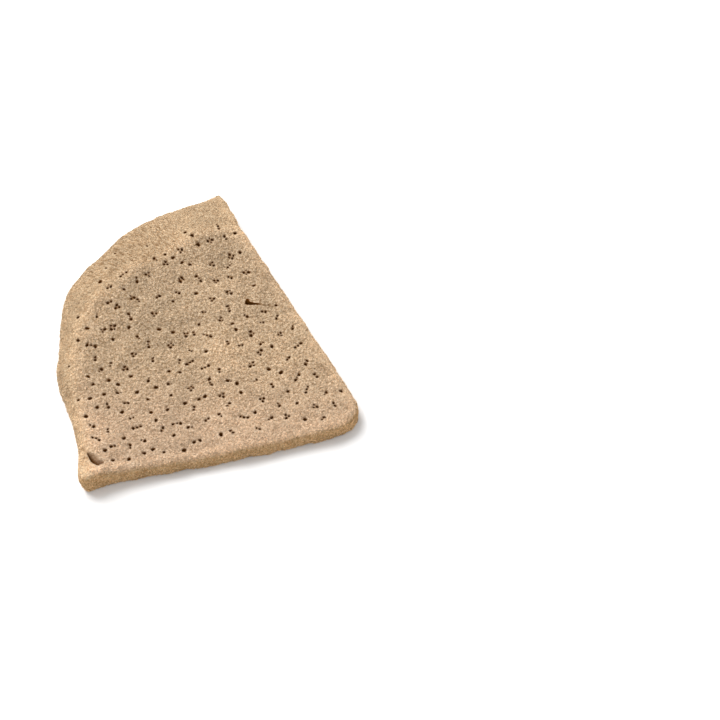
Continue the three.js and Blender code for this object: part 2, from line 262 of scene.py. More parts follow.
# The pieces of the felt and how many strands each has, about
PATCHES = {
    "felt_on_cuts": 18000,
    "felt_on_rim": 30000,
    "felt_on_face_front": 28500,
    "felt_on_face_middle": 28500,
    "felt_on_face_back": 28500,
}
FACE_PARTINGS = (-27, -3)  # where the face's felt is parted, measured like y

# Brown strokes combed across the rim's band, strongest along a stretch of the rim on the left
STREAK_SPACING = 0.6
STREAK_LENGTH = 3.2
STREAK_STRENGTH = (0.25, 0.62)  # elsewhere, and along that stretch
STREAK_EDGE = (0.4, 0.52)       # of the noise that makes the strokes
COMB_BEGINS = (14, 30)          # along the rim from the back corner
COMB_ENDS = (56, 74)

# Where the zones of the finish are, in millimetres
BAND_BEGINS = (-3.0, 3.5)      # from inside the crest to outside it
EDGE_REACH = 2.2               # of the edge along a cut, painted lighter as a highlight, to both sides of its middle
EDGE_MIDDLE = 1                # distance of that middle from the outline
FRONT_BEGINS = (-10, -45)      # y where the front's pinker tone and painted light start, and where they are full
HOLLOW_BEGINS = (0.0, -6.0)    # from the crest outwards: where the hollow's painted shade starts, and is full
HOLLOW_REACH = 26
BACK_BEGINS = (-5, 25)         # y where the hollow's painted shade starts, and where it is full
LIP_REACH = 0.8                # how far from an opening or gash the felt is shorter and combed
FELTLESS_DARKNESS = 0.55       # no felt grows where the painted pore shade is as deep as this
FELTLESS_SLOPE = (-0.8, -0.4)  # nor where it faces down this much

# Colours on the face, on its pinker front, on the rim and on the cut sides
TUFT_COLOURS = [(0.925, 0.728, 0.513), (0.935, 0.73, 0.535), (0.85, 0.665, 0.45), (1.0, 0.72, 0.415)]
GAP_COLOURS = [(0.46, 0.307, 0.172), (0.47, 0.31, 0.182), (0.575, 0.40, 0.24), (0.62, 0.375, 0.17)]
# brown of the strokes, also used as painted shade in the creases
STREAK_AND_CREASE_SHADE_COLOUR = (0.36, 0.20, 0.085)
# painted shade down the pores and gashes, and where the gashes are deepest
PORE_PAINTED_SHADE_COLOUR = (0.15, 0.056, 0.01)
DEEPEST_PAINTED_SHADE_COLOUR = (0.035, 0.012, 0.002)

# How much lighter or darker the skin's colour is in places, most of it painted light and shade
# painted highlight along the crest
CREST_PAINTED_HIGHLIGHT = 0.18
CREST_REACH = (2.8, 3.4)          # how far the crest's painted highlight reaches outwards, and inwards
# painted highlight along the cut edges
EDGE_PAINTED_HIGHLIGHT = 0.16
# painted light: the face lighter towards the front
FRONT_PAINTED_LIGHT = 0.1
SWELL_PAINTED_LIGHT = 0.13                # painted highlight for each millimetre that the face swells, painted shade where it sinks
HOLLOW_PAINTED_SHADE = 0.05               # painted shade inside the crest, towards the back
CREASE_PAINTED_SHADE = 0.85            # how much of the streaks' brown the creases have, as painted shade
SKIN_BRIGHTNESS = 0.72
STRAND_BRIGHTNESS = (0.75, 1.31)  # of the dimmest and of the brightest strand

# Lightness within the finishes: the tufts, the grains on them, and large clouds over all
TUFT_FADES = (0.15, 0.75)          # in tufts from a tuft's middle: where it is light, and where dark
TUFT_LIGHT = 0.5                   # how much of the lightness the tufts make
GRAIN_LIGHT = 0.6                  # and the grains
GRAIN_EDGE = (0.35, 0.65)          # of the noise that makes the grains
GRAIN_SCALE = 1300                 # noise scales are for each metre
CLOUD_SCALE = 70
CLOUD_EDGE = (0.3, 0.7)
CLOUD_BRIGHTNESS = (0.945, 1.055)  # of the dimmest and of the brightest cloud
EVENED = 0.5                       # most that the tufts' lightness is evened out along the cut edge, towards EVEN_TONE
EVEN_TONE = 0.5
EVENED_FRONT = 0.6                 # share of the cut edge's evenness that the front has
BUMP_SCALE = 2200
BUMP_HEIGHT = 0.4
ROUGHNESS = 0.95

# Light, as strengths and metres
WORLD_STRENGTH = 0.66
KEY_POWER = 24.5
KEY_SIZE = 0.9
KEY_PLACE = (-0.6, 0.6, 1.1)
FLOOR_SIZE = 4
FLOOR_GAP = 0.0001  # the floor is this much below the sponge
FLOOR_SHADE = 0.9

# Meshing
COLUMNS = 820       # points around the outline
SIDE_ROWS = 30
FACE_STEP = 0.46    # distance between the points of the upper side
UNDER_STEP = 0.9
GAP_AT_EDGE = 0.75  # least distance of those points from the edge, in steps
GAP_AT_HOLE = 0.6   # and from a hole
GRID_ROW = 0.866    # distance between the rows that the points start from, in steps
GRID_SHIFT = 0.3    # most that a point is moved off its row, in steps
GASH_STEP = 0.4
GASH_ROWS = 9

# Seeds
OPENING_SEED = 7
FACE_SEED = 11
UNDER_SEED = 12
FELT_SEED = 20  # of the first patch


# Lines and heights in the plan

def spline(points, steps=12):
    """A smooth line through the listed points."""
    p = np.array(points, float)
    p = np.vstack([2 * p[0] - p[1], p, 2 * p[-1] - p[-2]])
    t = np.linspace(0, 1, steps, endpoint=False)[:, None]
    line = []
    for a, b, c, d in zip(p, p[1:], p[2:], p[3:]):
        curve = 2 * b + (c - a) * t + (2 * a - 5 * b + 4 * c - d) * t**2 + (3 * b - 3 * c + d - a) * t**3
        line.append(0.5 * curve)
    return np.vstack([*line, p[-2:-1]])


def rounded_corner(start, corner, end, steps=10):
    a, b, c = (np.array(point, float) for point in (start, corner, end))
    t = np.linspace(0, 1, steps)[:, None]
    return (1 - t) ** 2 * a + 2 * t * (1 - t) * b + t**2 * c


def evenly(line, count, closed=False):
    """The same line as evenly spaced points."""
    if closed:
        line = np.vstack([line, line[:1]])
    length = np.concatenate([[0], np.cumsum(np.linalg.norm(np.diff(line, axis=0), axis=1))])
    places = np.linspace(0, length[-1], count, endpoint=not closed)
    return np.stack([np.interp(places, length, line[:, k]) for k in range(line.shape[1])], axis=1)


def nearest_on(line, x, y):
    """Seen from above: distance to the line, its height there, on which side a point is, how far along."""
    best = np.full(x.shape, np.inf)
    height, side, reach = np.zeros(x.shape), np.zeros(x.shape), np.zeros(x.shape)
    passed = 0
    for a, b in zip(line, line[1:]):
        dx, dy = (b - a)[:2]
        along = np.clip(((x - a[0]) * dx + (y - a[1]) * dy) / (dx * dx + dy * dy), 0, 1)
        distance = np.hypot(x - a[0] - along * dx, y - a[1] - along * dy)
        closer = distance < best
        best = np.where(closer, distance, best)
        height = np.where(closer, a[2] + (b[2] - a[2]) * along, height)
        side = np.where(closer, dx * (y - a[1]) - dy * (x - a[0]), side)
        reach = np.where(closer, passed + along * math.hypot(dx, dy), reach)
        passed += math.hypot(dx, dy)
    return best, height, side, reach


RIM_LINE = evenly(spline(RIM), 90)
CREST_LINE = evenly(spline(CREST), 60)


def laid_flat(line):
    return np.column_stack([line, np.zeros(len(line))])


def smoothstep(x, low, high):
    t = np.clip((x - low) / (high - low), 0, 1)
    return t * t * (3 - 2 * t)


def lumps(x, y):
    """Soft irregular lumps several millimetres across."""
    height = 0
    for direction, length, phase in WAVES:
        turn = math.radians(direction)
        along = x * math.cos(turn) + y * math.sin(turn)
        height = height + RELIEF * np.sin(math.tau * along / length + phase)
    return height


def swells(x, y):
    """How far the low swells lift the face."""
    height = 0
    for middle_x, middle_y, radius, middle_height in SWELLS:
        height = height + middle_height * np.exp(-((x - middle_x) ** 2 + (y - middle_y) ** 2) / radius**2)
    return height


def upper_height(x, y):
    """Height of the upper side at points of the plan."""
    x, y = np.asarray(x, float), np.asarray(y, float)
    from_rim, rim_height, _, _ = nearest_on(RIM_LINE, x, y)
    from_crest, crest_height, side, _ = nearest_on(CREST_LINE, x, y)
    up = from_rim / (from_rim + from_crest + 1e-9)
    band = rim_height + (crest_height - rim_height) * up * (1 + BAND_BULGE - BAND_BULGE * up)
    level = FACE_LEVEL + FACE_TILT * y + swells(x, y)
    inside_crest = np.hypot(from_crest, CREST_ROUNDING) - CREST_ROUNDING
    face = level + (crest_height - level) * np.exp(-inside_crest / CREST_FALL)
    return np.where(side < 0, band, face) + lumps(x, y)


def places_at_pixels(pixels):
    """The places on the upper side that show at pixels of the photograph."""
    pixels = np.array(pixels, float)
    across = (pixels[:, 0] - PICTURE_MIDDLE) / PIXELS_TO_EYE
    up = (PICTURE_MIDDLE - pixels[:, 1]) / PIXELS_TO_EYE
    cos, sin = math.cos(SLOPE_OF_SIGHT), math.sin(SLOPE_OF_SIGHT)
    sight = np.stack([across, cos + sin * up, cos * up - sin], axis=1)
    height = np.full(len(pixels), FACE_LEVEL)
    for _ in range(4):
        place = EYE + sight * ((height - EYE[2]) / sight[:, 2])[:, None]
        height = upper_height(*place.T[:2])
    return place[:, :2]


def plan_of_sides():
    """The natural rim and the cut sides seen from above, each as one line, anticlockwise."""
    rim, front, right = ([point[:2] for point in line] for line in (RIM, FRONT_CUT, RIGHT_CUT))
    cuts = [
        rounded_corner(rim[-1], FRONT_LEFT_CORNER, front[0])[:-1],
        spline(front)[:-1],
        rounded_corner(front[-1], TIP_CORNER, right[0])[:-1],
        spline(right)[:-1],
        rounded_corner(right[-1], BACK_CORNER, rim[0]),
    ]
    return spline(rim), np.vstack(cuts)


RIM_PLAN, CUT_PLAN = plan_of_sides()


def inside(loop, points):
    """Which of the points lie inside a closed line."""
    within = np.zeros(len(points), bool)
    x, y = points[:, 0], points[:, 1]
    for a, b in zip(loop, np.roll(loop, -1, axis=0)):
        if a[1] == b[1]:
            continue
        crosses = (a[1] > y) != (b[1] > y)
        within ^= crosses & (x < a[0] + (b[0] - a[0]) * (y - a[1]) / (b[1] - a[1]))
    return within


def tree_of(points):
    tree = KDTree(len(points))
    for i, point in enumerate(points):
        tree.insert((point[0], point[1], 0), i)
    tree.balance()
    return tree


def clear_of(points, obstacles, gap):
    """Which of the points are farther than gap from all the obstacles."""
    tree = tree_of(obstacles)
    return np.array([tree.find((x, y, 0))[2] > gap for x, y in points])


def scattered(low, high, step, seed):
    """Points about a step apart, over a rectangle, in no visible rows."""
    draw = np.random.default_rng(seed)
    columns = int((high[0] - low[0]) / step)
    rows = int((high[1] - low[1]) / (step * GRID_ROW))
    column, row = np.meshgrid(np.arange(columns), np.arange(rows))
    x = low[0] + (column + 0.5 * (row % 2)) * step
    y = low[1] + row * step * GRID_ROW
    points = np.stack([x.ravel(), y.ravel()], axis=1)
    return points + draw.uniform(-GRID_SHIFT, GRID_SHIFT, points.shape) * step


def loose_points(edge, step, seed):
    """Points scattered inside a closed line and clear of it."""
    points = scattered(edge.min(0), edge.max(0), step, seed)
    points = points[inside(edge, points)]
    return points[clear_of(points, edge, GAP_AT_EDGE * step)]


# The sponge's skin, one closed mesh

class Skin:
    """Vertices and faces as they are added, with how far each vertex is down a pore, which sets its painted
    shade, and on a cut side.
    """

    def __init__(self):
        self.vertices = []
        self.faces = []
        self.pore = []
        self.cut = []

    def add(self, points, pore=0.0, cut=0.0):
        first = len(self.vertices)
        self.vertices.extend(map(tuple, points))
        self.pore.extend(np.broadcast_to(pore, len(points)))
        self.cut.extend(np.broadcast_to(cut, len(points)))
        return list(range(first, len(self.vertices)))

    def plan(self, loop):
        return np.array([self.vertices[i][:2] for i in loop])

    def strip(self, lower, upper, closed=True):
        """Quads between two rows of vertices that run the same way."""
        count = len(lower)
        for i in range(count if closed else count - 1):
            k = (i + 1) % count
            self.faces.append((lower[i], lower[k], upper[k], upper[i]))

    def fill(self, loop, points, holes=(), height=None, upwards=True):
        """Triangles between a loop of vertices, the holes' loops and loose points of the plan."""
        loose = self.add(np.column_stack([points, height(points)]))
        edges = []
        index = []
        for ring in (loop, *holes):
            start = len(index)
            index.extend(ring)
            edges.extend((start + i, start + (i + 1) % len(ring)) for i in range(len(ring)))
        index.extend(loose)
        plan = [Vector(self.vertices[i][:2]) for i in index]
        flat, _, triangles, origin, _, _ = delaunay_2d_cdt(plan, edges, [], 0, 1e-7)
        corners = np.array([tuple(place) for place in flat])
        middles = corners[np.array(triangles)].mean(axis=1)
        keep = inside(self.plan(loop), middles)
        for ring in holes:
            keep &= ~inside_near(self.plan(ring), middles)
        for triangle, kept in zip(triangles, keep):
            if kept:
                face = tuple(index[origin[i][0]] for i in triangle)
                self.faces.append(face if upwards else face[::-1])


def inside_near(loop, points):
    """Which of the points lie inside a small closed line, testing only those near it."""
    within = np.zeros(len(points), bool)
    near = np.flatnonzero(np.all((points > loop.min(0)) & (points < loop.max(0)), axis=1))
    within[near] = inside(loop, points[near])
    return within


def side_profile(cut, top, shoulder):
    """The side at one outline point, from the underside up: distance in from the outline, height."""
    natural = [
        (12, 0),
        (6, 0.35 * UNDERSIDE_LIFT),
        (1.6, UNDERSIDE_LIFT),
        (0, NOSE_HEIGHT),
        (0.5, NOSE_HEIGHT + 0.7 * (top - NOSE_HEIGHT)),
        (1.5, top + 0.1),
        (SIDE_REACH, shoulder),
    ]
    wall = [
        (3, 0),
        (0.3, 0),
        (0, 0.3 * top),
        (0.1, top - EDGE_ROUNDING),
        (0.4 * EDGE_ROUNDING, top - 0.35 * EDGE_ROUNDING),
        (1.1 * EDGE_ROUNDING, top),
        (SIDE_REACH, shoulder),
    ]
    return (1 - cut) * np.array(natural) + cut * np.array(wall)


def add_sides(skin):
    """The rim and the cut sides. Returns the loops at the underside and at the upper side."""
    points = evenly(np.vstack([RIM_PLAN[:-1], CUT_PLAN[:-1]]), COLUMNS, closed=True)
    inward = -points / np.linalg.norm(points, axis=1)[:, None]
    cut = smoothstep(nearest_on(RIM_LINE, *points.T)[0], *CUT_BEGINS)
    top = upper_height(*points.T)
    shoulder = upper_height(*(points + SIDE_REACH * inward).T)
    rows = np.empty((SIDE_ROWS, COLUMNS, 3))
    for column in range(COLUMNS):
        profile = evenly(spline(side_profile(cut[column], top[column], shoulder[column]), 5), SIDE_ROWS)
        rows[:, column, :2] = points[column] + inward[column] * profile[:, :1]
        rows[:, column, 2] = np.maximum(profile[:, 1], 0)
    rows[-1, :, 2] = upper_height(*rows[-1, :, :2].T)
    loops = [skin.add(row, cut=cut * (1 - smoothstep(row[:, 2], top - CUT_FADE, top))) for row in rows]
    for lower, upper in zip(loops, loops[1:]):
        skin.strip(lower, upper)
    return loops[0], loops[-1]


def cluster(count, draw):
    """Where the openings of one cluster lie about its middle: a ring, or a bent row."""
    turn = draw.uniform(0, math.tau)
    in_row = count == 2 or (count == 3 and draw.random() < ROW_CHANCE)
    places = []
    for i in range(count):
        if count == 1:
            distance, angle = 0, 0
        elif in_row:
            distance = SPACING * (i - 0.5 * (count - 1))
            angle = turn + ROW_BEND * (i % 2)
        else:
            distance = 0.5 * SPACING / math.sin(math.pi / count)
            angle = turn + math.tau * i / count
        distance *= draw.uniform(*SPACING_VARIES)
        angle += draw.uniform(-TURN_VARIES, TURN_VARIES)
        places.append((distance * math.cos(angle), distance * math.sin(angle)))
    return places


def openings(draw, obstacles):
    """Every opening of the face: middle and radius, none touching another or the obstacles."""
    clusters = SEEN_PORES + BAND_PORES + UNSEEN_PORES
    band = range(len(SEEN_PORES), len(SEEN_PORES) + len(BAND_PORES))
    found = []
    for k, (x, y) in enumerate(places_at_pixels([pore[:2] for pore in clusters])):
        count = clusters[k][2]
        for across, along in cluster(count, draw):
            place = (x + across, y + along)
            radius = draw.uniform(*(LONE_RADIUS if count == 1 else SHARED_RADIUS))
            if k in band:
                radius = DASH_RADIUS
            gaps = [math.dist(place, other[:2]) - WALL_BETWEEN - OVAL * other[2] for other in found]
            room = min(gaps, default=OVAL) / OVAL
            if room > LEAST_RADIUS:
                found.append((*place, min(radius, room)))
    clear = clear_of([place[:2] for place in found], obstacles, LONE_RADIUS[1] + CLEAR_OF_EDGES)
    return [opening for opening, kept in zip(found, clear) if kept]


def add_opening(skin, opening, draw, height):
    """One opening's wall and floor. Returns the loop of its mouth."""
    x, y, radius = opening
    middle = np.array([x, y])
    lean = draw.uniform(0, math.tau)
    angles = np.arange(OPENING_POINTS) * math.tau / OPENING_POINTS
    stretch = TWO_SIDED * np.cos(2 * angles + lean) + (1 - TWO_SIDED) * np.cos(3 * angles + 2 * lean)
    reach = radius * (1 + (OVAL - 1) * stretch)
    around = np.stack([np.cos(angles), np.sin(angles)], axis=1) * reach[:, None]
    level = height(middle[None])[0]
    mouth = middle + around
    # the lip takes part of the painted pore shade, the wall and floor all of it
    rings = [skin.add(np.column_stack([mouth, height(mouth)]), MOUTH_PAINTED_SHADE)]
    for share, depth in OPENING_WALL:
        ring = middle + share * around
        rings.append(skin.add(np.column_stack([ring, np.full(OPENING_POINTS, level - depth)]), 1.0))
    for outer, inner in zip(rings, rings[1:]):
        skin.strip(outer, inner)
    bottom = skin.add([(x, y, level - OPENING_DEPTH)], 1.0)[0]
    last = rings[-1]
    skin.faces.extend((a, b, bottom) for a, b in zip(last, last[1:] + last[:1]))
    return rings[0]


def add_gash(skin, gash):
    """A gash between two lips, deepest under the steep one. Returns the loop of its mouth."""
    steep, sloping = (spline(places_at_pixels(gash[lip])) for lip in ("steep", "sloping"))
    count = int(np.linalg.norm(np.diff(steep, axis=0), axis=1).sum() / GASH_STEP) + 1
    steep, sloping = evenly(steep, count), evenly(sloping, count)
    width = np.linalg.norm(steep - sloping, axis=1)
    fullness = np.sin(np.linspace(0, math.pi, count)) ** GASH_ENDS
    depth = np.minimum(gash["depth"], DEEPEST_FOR_WIDTH * width) * fullness
    # painted shade of the gash, from its lips down to its floor
    at_lip, at_floor = gash["painted_shade"]
    share = np.linspace(0, 1, GASH_ROWS)
    down = np.interp(share, *GASH_DOWN)
    across = np.interp(share, *GASH_OVER)
    rows = []
    for k in range(GASH_ROWS):
        place = (sloping + (steep - sloping) * across[k])[1:-1]
        level = upper_height(*place.T) - depth[1:-1] * down[k]
        dark = at_lip + (at_floor - at_lip) * down[k]
        rows.append(skin.add(np.column_stack([place, level]), dark))
    tips = 0.5 * (steep + sloping)[[0, -1]]
    ends = skin.add(np.column_stack([tips, upper_height(*tips.T)]))
    for lower, upper in zip(rows, rows[1:]):
        skin.strip(upper, lower, closed=False)
        skin.faces.append((ends[0], upper[0], lower[0]))
        skin.faces.append((ends[1], lower[-1], upper[-1]))
    return [ends[0], *rows[-1], ends[1], *rows[0][::-1]]


def along_lips(points, loops):
    """Distance from points of the plan to the nearest lip of a hole, and the direction along that lip."""
    lips = np.vstack(loops)
    directions = np.vstack([np.roll(loop, -1, axis=0) - np.roll(loop, 1, axis=0) for loop in loops])
    directions /= np.linalg.norm(directions, axis=1)[:, None]
    tree = tree_of(lips)
    nearest = [tree.find((x, y, 0)) for x, y in points]
    distance = np.array([found[2] for found in nearest])
    return distance, laid_flat(directions[[found[1] for found in nearest]])


def build_skin():
    draw = random.Random(OPENING_SEED)
    skin = Skin()
    under_loop, upper_loop = add_sides(skin)
    holes = [add_gash(skin, gash) for gash in (TEAR, SLIT)]
    found = openings(draw, np.vstack([skin.plan(loop) for loop in (upper_loop, *holes)]))
    middles = tree_of(found)

    def dimpled(points):
        away = np.array([middles.find((x, y, 0))[2] for x, y in points])
        return upper_height(*points.T) - DIMPLE_DEPTH * np.exp(-((away / DIMPLE_RADIUS) ** 2))

    holes += [add_opening(skin, opening, draw, dimpled) for opening in found]

    points = loose_points(skin.plan(upper_loop), FACE_STEP, FACE_SEED)
    points = points[clear_of(points, np.vstack([skin.plan(hole) for hole in holes]), GAP_AT_HOLE * FACE_STEP)]
    for hole in holes:
        points = points[~inside_near(skin.plan(hole), points)]
    skin.fill(upper_loop, points, holes, dimpled)

    points = loose_points(skin.plan(under_loop), UNDER_STEP, UNDER_SEED)
    skin.fill(under_loop, points, (), lambda plan: np.zeros(len(plan)), upwards=False)
    return skin, [skin.plan(hole) for hole in holes]


def roughness_at(points, wavelength):
    """Smooth random values about the points, between -1 and 1."""
    shift = Vector((wavelength, 3 * wavelength, 7 * wavelength))
    return np.array([noise.noise(Vector(point) / wavelength + shift) for point in points])


def down_the_rim(x, y):
    """Direction towards the rim, seen from above."""
    step = 0.1
    right, left = (nearest_on(RIM_LINE, x + shift, y)[0] for shift in (step, -step))
    back, front = (nearest_on(RIM_LINE, x, y + shift)[0] for shift in (step, -step))
    slope = np.stack([left - right, front - back, np.zeros(len(x))], axis=1)
    return slope / (np.linalg.norm(slope, axis=1)[:, None] + 1e-9)


def in_creases(x, y):
    """How far each point of the plan belongs to a crease, from 0 to 1."""
    within = np.zeros(len(x))
    for crease in CREASES:
        distance = nearest_on(laid_flat(places_at_pixels(crease)), x, y)[0]
        within = np.maximum(within, np.exp(-((distance / CREASE_WIDTH) ** 2)))
    return within


def zones(points, normals, skin, from_lips):
    """How far each vertex belongs to each part of the skin, and its place along and in from the rim."""
    x, y = points[:, 0], points[:, 1]
    from_crest, _, side, _ = nearest_on(CREST_LINE, x, y)
    from_rim, _, _, along_rim = nearest_on(RIM_LINE, x, y)
    from_cut = nearest_on(laid_flat(CUT_PLAN), x, y)[0]
    pore, cut = np.array(skin.pore), np.array(skin.cut)
    outside = np.where(side < 0, from_crest, -from_crest)
    upper = normals[:, 2] > 0.5
    crease = in_creases(x, y) * upper * (pore == 0)
    crest = np.exp(-(from_crest / np.where(side < 0, *CREST_REACH)) ** 2) * (1 - cut)
    edge = np.exp(-((from_cut - EDGE_MIDDLE) / EDGE_REACH) ** 2) * (1 - cut)
    front = smoothstep(y, *FRONT_BEGINS) * upper
    hollow = smoothstep(outside, *HOLLOW_BEGINS) * np.exp(outside / HOLLOW_REACH)
    hollow = hollow * smoothstep(y, *BACK_BEGINS)
    # painted light and shade: highlights on the crest, the cut edges and the swells, lighter towards the
    # front, darker where the face sinks and in the hollow towards the back
    light = 1 + CREST_PAINTED_HIGHLIGHT * crest + EDGE_PAINTED_HIGHLIGHT * edge + FRONT_PAINTED_LIGHT * front + SWELL_PAINTED_LIGHT * swells(x, y)
    return {
        "pore": pore,
        "cut": cut,
        "band": smoothstep(outside, *BAND_BEGINS) * (1 - cut),
        "edge": edge,
        "crease": crease,
        "front": front,
        "soft": np.maximum(edge, EVENED_FRONT * front),
        "light": light * (1 - HOLLOW_PAINTED_SHADE * hollow),
        "lip": np.exp(-(from_lips / LIP_REACH) ** 2) * (normals[:, 2] > 0),
        "felt": (1 - smoothstep(pore, 0.0, FELTLESS_DARKNESS)) * smoothstep(normals[:, 2], *FELTLESS_SLOPE),
        "combed": smoothstep(along_rim, *COMB_BEGINS) * (1 - smoothstep(along_rim, *COMB_ENDS)),
        "along_rim": along_rim,
        "from_rim": from_rim,
    }


def ruffle(points, normals, zone):
    """Push the skin in and out, less inside the pores, and nowhere below what it lies on."""
    height = CUT_LIP * zone["edge"] * (normals[:, 2] > 0.5) - CREASE_DEPTH * zone["crease"]
    for wavelength, on_face, on_rim, on_cut in RUFFLES:
        strength = on_face + (on_rim - on_face) * zone["band"] + (on_cut - on_face) * zone["cut"]
        worn = 1 - SMOOTHER_WHERE_SOFT * zone["soft"]
        height = height + strength * worn * roughness_at(points, wavelength)
    moved = points + normals * (height * (zone["pore"] < 1))[:, None]
    moved[:, 2] = np.maximum(moved[:, 2], 0)
    return moved


def add_attribute(mesh, name, values, kind="FLOAT", domain="POINT"):
    layer = mesh.attributes.new(name, kind, domain)
    field = "vector" if kind == "FLOAT_VECTOR" else "value"
    layer.data.foreach_set(field, np.ravel(values))


def values_of(items, name, kind=float, width=1):
    """One property of every item, as an array."""
    values = np.empty(len(items) * width, kind)
    items.foreach_get(name, values)
    return values


def mean_on_faces(mesh, values):
    corners = values_of(mesh.loops, "vertex_index", int)
    starts = values_of(mesh.polygons, "loop_start", int)
    return np.add.reduceat(values[corners], starts) / values_of(mesh.polygons, "loop_total", int)


def add_object(name, data):
    made = bpy.data.objects.new(name, data)
    bpy.context.scene.collection.objects.link(made)
    return made


def make_skin():
    """The skin as an object, with the zones as attributes that its finish and the felt read."""
    skin, lips = build_skin()
    mesh = bpy.data.meshes.new("sponge_skin")
    mesh.from_pydata(skin.vertices, [], skin.faces)
    normals = values_of(mesh.vertex_normals, "vector", width=3).reshape(-1, 3)
    points = np.array(skin.vertices)
    from_lips, along_lip = along_lips(points[:, :2], lips)
    zone = zones(points, normals, skin, from_lips)
    mesh.vertices.foreach_set("co", np.ravel(ruffle(points, normals, zone)) * METRES)
    for name, values in zone.items():
        add_attribute(mesh, name, values)
    on_band = zone["band"][:, None]
    comb = on_band * down_the_rim(*points.T[:2]) + (1 - on_band) * along_lip
    add_attribute(mesh, "comb", comb, "FLOAT_VECTOR")
    add_attribute(mesh, "order", np.maximum(ORDER_ON_RIM * zone["band"], ORDER_AT_LIPS * zone["lip"]))
    on_cut = mean_on_faces(mesh, zone["cut"]) > 0.5
    on_rim = mean_on_faces(mesh, zone["band"]) > 0.5
    in_front = [mean_on_faces(mesh, points[:, 1]) < parting for parting in FACE_PARTINGS]
    patch = np.select([on_cut, on_rim, *in_front], range(4), 4)
    add_attribute(mesh, "patch", patch, "INT", "FACE")
    mesh.polygons.foreach_set("use_smooth", [True] * len(mesh.polygons))
    mesh.update()
    return add_object("sponge_skin", mesh)


# Node trees

def add_node(tree, kind, inputs=None, **settings):
    """Adds a node whose inputs are either linked to sockets or set to values. Returns its outputs."""
    made = tree.nodes.new(kind)
    for name, value in settings.items():
        setattr(made, name, value)
    for key, value in (inputs or {}).items():
        if isinstance(value, bpy.types.NodeSocket):
            tree.links.new(value, made.inputs[key])
        else:
            made.inputs[key].default_value = value
    return made.outputs


def maths(tree, operation, *values):
    return add_node(tree, "ShaderNodeMath", dict(enumerate(values)), operation=operation)[0]


def times(tree, first, second):
    return maths(tree, "MULTIPLY", first, second)


def scaled(tree, vector, factor):
    return add_node(tree, "ShaderNodeVectorMath", {0: vector, "Scale": factor}, operation="SCALE")[0]


def vector_of(tree, x, y, z):
    return add_node(tree, "ShaderNodeCombineXYZ", {"X": x, "Y": y, "Z": z})[0]


def ramp(tree, value, low, high, at_low=0.0, at_high=1.0):
    """A smooth change from one value to another while the input goes from low to high."""
    inputs = {"Value": value, "From Min": low, "From Max": high, "To Min": at_low, "To Max": at_high}
    return add_node(tree, "ShaderNodeMapRange", inputs, interpolation_type="SMOOTHSTEP")["Result"]


def from_tuft_middle(tree, place, tuft_size):
    """How far a place is from the middle of its tuft, in tufts."""
    inputs = {"Vector": scaled(tree, place, maths(tree, "DIVIDE", 1, tuft_size)), "Scale": 1.0}
    return add_node(tree, "ShaderNodeTexVoronoi", inputs)["Distance"]


# The felt, grown by Geometry Nodes

def chance(tree, low, high, seed):
    """A random value for each strand."""
    inputs = {2: low, 3: high, "Seed": seed}
    return add_node(tree, "FunctionNodeRandomValue", inputs, data_type="FLOAT")[1]


def reading(tree, name, kind="FLOAT"):
    return add_node(tree, "GeometryNodeInputNamedAttribute", {"Name": name}, data_type=kind)["Attribute"]


def position(tree):
    return add_node(tree, "GeometryNodeInputPosition")[0]


def one_strand(tree, length, thickness):
    """A bent strand with pointed ends, lying along X."""
    half = times(tree, length, 0.5)
    sunk = times(tree, thickness, -STRAND_SINKING)
    sideways = times(tree, length, 2 * STRAND_BEND)
    raised = times(tree, length, 2 * STRAND_ARCH)
    places = {
        "Start": vector_of(tree, times(tree, half, -1), 0, sunk),
        "Middle": vector_of(tree, 0, sideways, raised),
        "End": vector_of(tree, half, 0, sunk),
    }
    line = add_node(tree, "GeometryNodeCurveQuadraticBezier", places)[0]
    line = add_node(tree, "GeometryNodeResampleCurve", {"Curve": line, "Count": 3})[0]
    along = add_node(tree, "GeometryNodeSplineParameter")["Factor"]
    fullness = maths(tree, "SINE", times(tree, along, math.pi))
    around = {"Resolution": 3, "Radius": times(tree, thickness, 0.5)}
    ring = add_node(tree, "GeometryNodeCurvePrimitiveCircle", around)[0]
    inputs = {"Curve": line, "Profile Curve": ring, "Scale": fullness}
    tube = add_node(tree, "GeometryNodeCurveToMesh", inputs)[0]
    return add_node(tree, "GeometryNodeMergeByDistance", {"Geometry": tube, "Distance": 1e-6})[0]


def spread_roots(tree, given):
    """Places scattered over one patch of the skin, and how the skin lies there."""
    patches = {2: reading(tree, "patch", "INT"), 3: given["Patch"]}
    on_patch = add_node(tree, "FunctionNodeCompare", patches, data_type="INT", operation="EQUAL")[0]
    return add_node(tree, "GeometryNodeDistributePointsOnFaces", {
        "Mesh": given["Skin"],
        "Selection": on_patch,
        "Seed": given["Seed"],
        "Density": times(tree, given["Density"], reading(tree, "felt")),
    })


def thinned(tree, roots, tuft_size):
    """The scattered places without many of those between the tufts."""
    kept = ramp(tree, from_tuft_middle(tree, position(tree), tuft_size), *TUFT_EDGE, 1.0, KEPT_BETWEEN_TUFTS)
    bare = maths(tree, "GREATER_THAN", chance(tree, 0.0, 1.0, 1), kept)
    inputs = {"Geometry": roots, "Selection": bare}
    return add_node(tree, "GeometryNodeDeleteGeometry", inputs, domain="POINT")[0]


